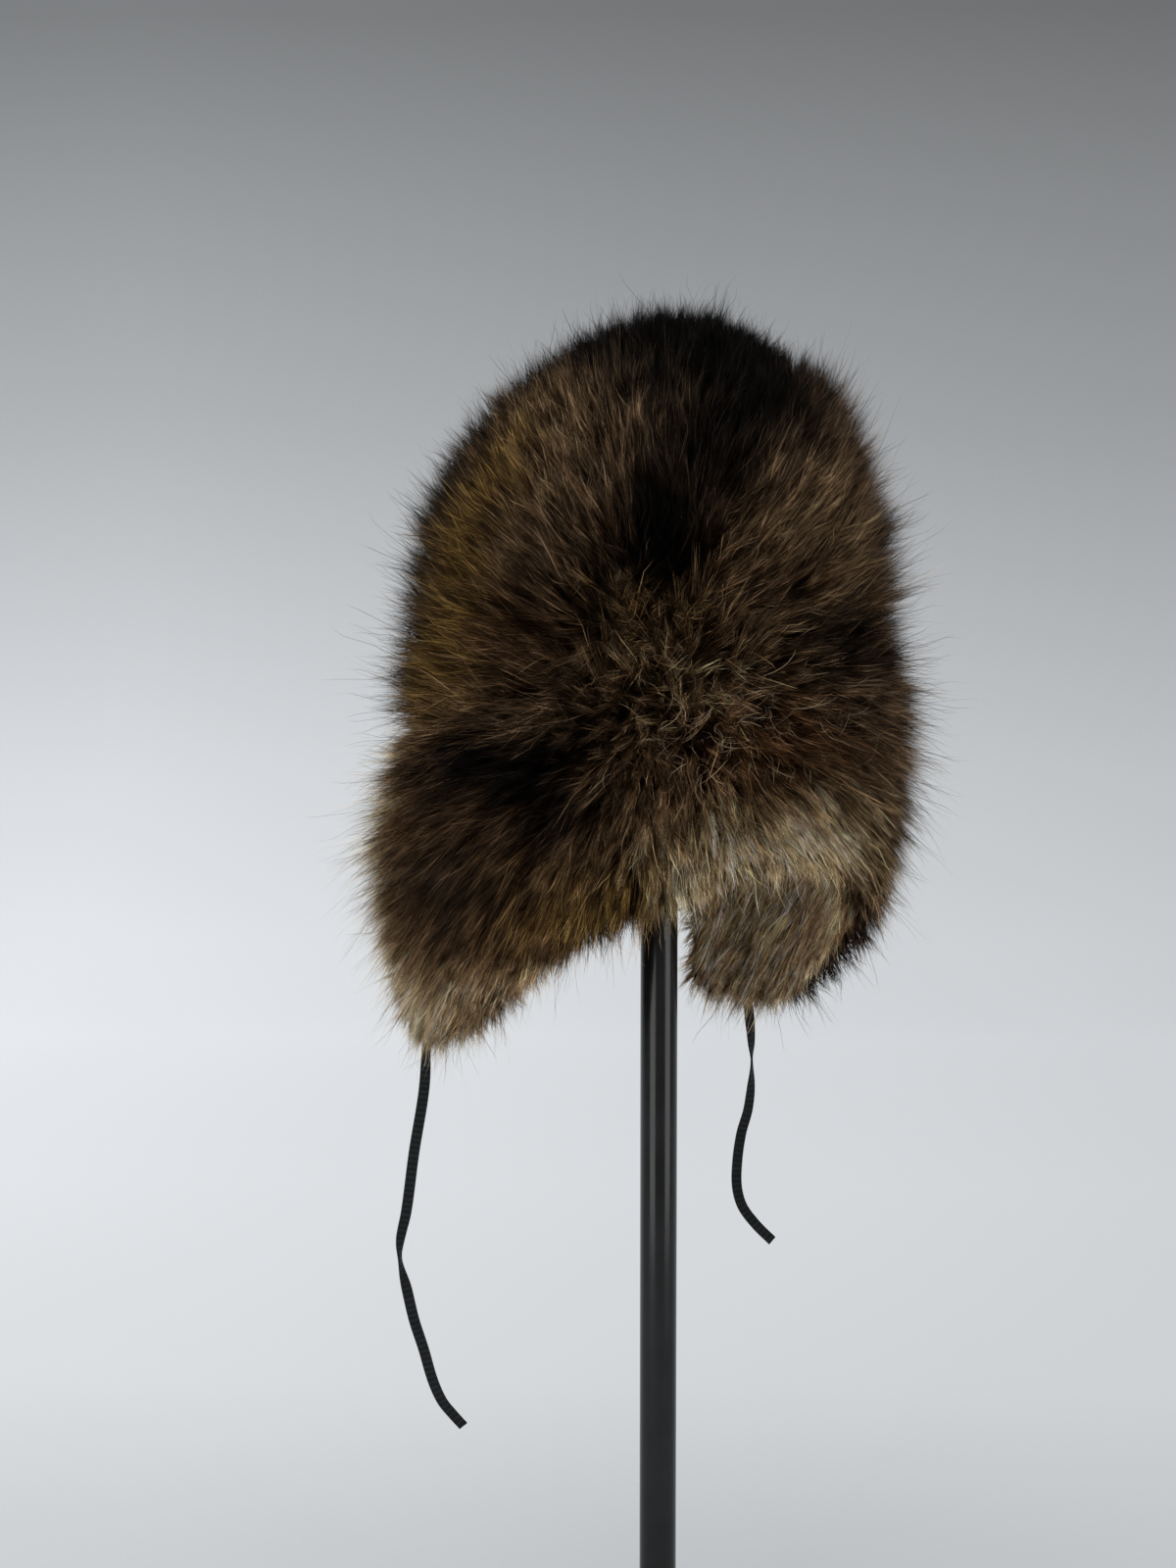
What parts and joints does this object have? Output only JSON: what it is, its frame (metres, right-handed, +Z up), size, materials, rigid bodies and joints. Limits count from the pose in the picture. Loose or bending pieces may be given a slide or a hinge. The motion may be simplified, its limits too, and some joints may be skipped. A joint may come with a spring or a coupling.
{
  "type": "fur ushanka hat on display stand",
  "caption": "Long-haired fur trapper hat with hanging ear flaps, turned-up visor and flat chin ties, held up on a plain black pole stand with a round base.",
  "frame": {"origin": "centre of the underside of the stand's round base", "axes": "+Z up along the pole, the hat faces -Y, the wearer's left is +X"},
  "size_m": [0.284, 0.3021, 0.7226],
  "materials": {
    "fur_golden": "deep golden-brown fur with pale tips",
    "fur_brown": "deep brown fur with pale tips",
    "fur_dark": "deep dark grey-brown fur",
    "fur_cream": "soft cream and tan fur",
    "lining": "matt brown padded skin",
    "ribbon": "flat black woven ribbon",
    "stand_black": "glossy black"
  },
  "bodies": {
    "root": {"crown_wall": "lining", "crown_fur_back_left": "fur_golden", "crown_fur_front_left": "fur_dark", "crown_fur_front_right": "fur_dark", "crown_fur_back_right": "fur_brown", "neck_flap_wall": "lining", "ear_flap_left_wall": "lining", "ear_flap_right_wall": "lining", "neck_flap_fur": "fur_golden", "ear_flap_left_fur": "fur_brown", "ear_flap_right_fur": "fur_brown", "neck_flap_inner_fur": "fur_cream", "ear_flap_left_inner_fur": "fur_cream", "ear_flap_right_inner_fur": "fur_cream", "visor_wall": "lining", "visor_fur": "fur_brown", "tie_left": "ribbon", "tie_right": "ribbon", "stand_base": "stand_black", "stand_collar": "stand_black", "stand_pole": "stand_black", "stand_cap": "stand_black"}
  },
  "joints": []
}
